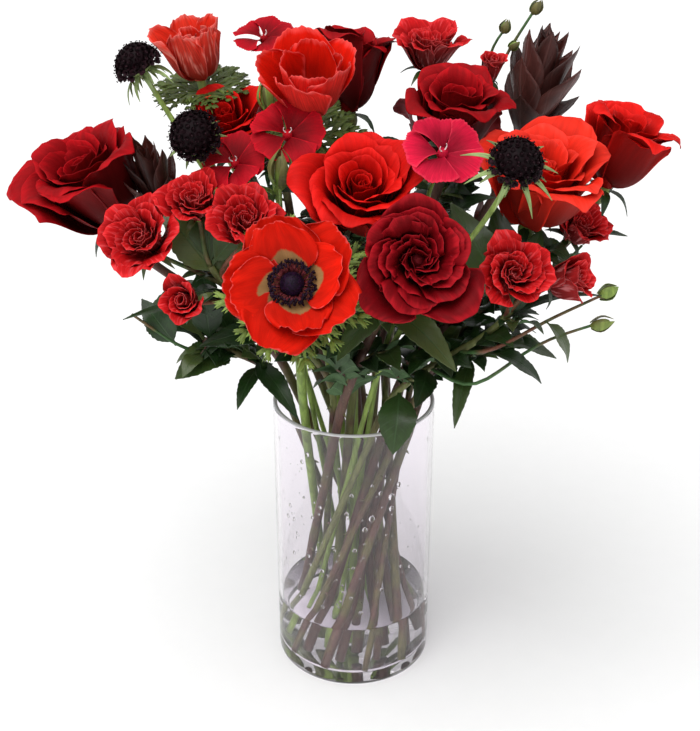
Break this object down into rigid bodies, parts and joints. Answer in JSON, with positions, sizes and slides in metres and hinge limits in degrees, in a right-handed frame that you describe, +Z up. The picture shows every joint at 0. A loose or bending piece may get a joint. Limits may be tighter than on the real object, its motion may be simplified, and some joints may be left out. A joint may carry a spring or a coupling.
{
  "type": "mixed red cut flower bouquet in a clear glass cylinder vase with water",
  "caption": "Mixed red bouquet of roses, anemones, dianthus, scabiosa and foliage standing in a clear glass cylinder vase with water.",
  "frame": {"origin": "centre of the vase's flat foot, on the surface it stands on", "axes": "+Z up along the vase's axis, -Y towards the front of the bouquet, +X to the right seen from the front"},
  "size_m": [0.4147, 0.2952, 0.4478],
  "materials": {
    "glass": "clear gloss",
    "water": "clear liquid",
    "rose_bright": "soft satin",
    "rose_dark": "velvet matte",
    "rose_burgundy": "velvet matte",
    "anemone_petals": "soft satin",
    "anemone_dark": "matte",
    "spray_rose_petals": "soft satin",
    "dianthus_crimson": "soft satin",
    "scabiosa_dark": "matte",
    "burgundy_bracts": "waxy satin",
    "green_stems_leaves": "waxy satin"
  },
  "bodies": {
    "root": {"anemone_front_centre": "anemone_dark", "anemone_front_petals": "anemone_petals", "anemone_front_stem": "green_stems_leaves", "anemone_left_petals": "anemone_petals", "anemone_left_stem": "green_stems_leaves", "anemone_top_centre": "anemone_dark", "anemone_top_petals": "anemone_petals", "anemone_top_stem": "green_stems_leaves", "dianthus_left_1_petals": "rose_dark", "dianthus_left_2_petals": "rose_dark", "dianthus_left_stem": "green_stems_leaves", "dianthus_right_petals": "dianthus_crimson", "dianthus_right_stem": "green_stems_leaves", "dianthus_top_petals": "rose_dark", "foliage_back_left_stem": "green_stems_leaves", "foliage_back_right_stem": "green_stems_leaves", "foliage_left_stem": "green_stems_leaves", "foliage_right_stem": "green_stems_leaves", "leucadendron_left": "burgundy_bracts", "leucadendron_right": "burgundy_bracts", "rose_back_left_petals": "rose_bright", "rose_back_left_stem": "green_stems_leaves", "rose_back_right_petals": "rose_burgundy", "rose_back_right_stem": "green_stems_leaves", "rose_centre_petals": "rose_bright", "rose_centre_stem": "green_stems_leaves", "rose_far_left_petals": "rose_dark", "rose_far_left_stem": "green_stems_leaves", "rose_far_right_petals": "rose_bright", "rose_far_right_stem": "green_stems_leaves", "rose_front_petals": "rose_burgundy", "rose_front_stem": "green_stems_leaves", "rose_right_petals": "rose_bright", "rose_right_stem": "green_stems_leaves", "rose_top_petals": "rose_dark", "rose_top_stem": "green_stems_leaves", "rose_upper_left_petals": "rose_bright", "rose_upper_left_stem": "green_stems_leaves", "rose_upper_right_petals": "rose_dark", "rose_upper_right_stem": "green_stems_leaves", "scabiosa_far_left_head": "scabiosa_dark", "scabiosa_far_left_stem": "green_stems_leaves", "scabiosa_left_head": "scabiosa_dark", "scabiosa_left_stem": "green_stems_leaves", "scabiosa_right_head": "scabiosa_dark", "scabiosa_right_stem": "green_stems_leaves", "spray_left_stem": "green_stems_leaves", "spray_right_stem": "green_stems_leaves", "spray_rose_1_petals": "spray_rose_petals", "spray_rose_2_petals": "spray_rose_petals", "spray_rose_3_petals": "spray_rose_petals", "spray_rose_4_petals": "spray_rose_petals", "spray_rose_5_petals": "spray_rose_petals", "spray_rose_6_petals": "spray_rose_petals", "spray_rose_7_petals": "spray_rose_petals", "spray_rose_8_petals": "spray_rose_petals", "spray_rose_9_petals": "spray_rose_petals", "spray_top_stem": "green_stems_leaves", "vase": "glass", "water": "water"}
  },
  "joints": []
}
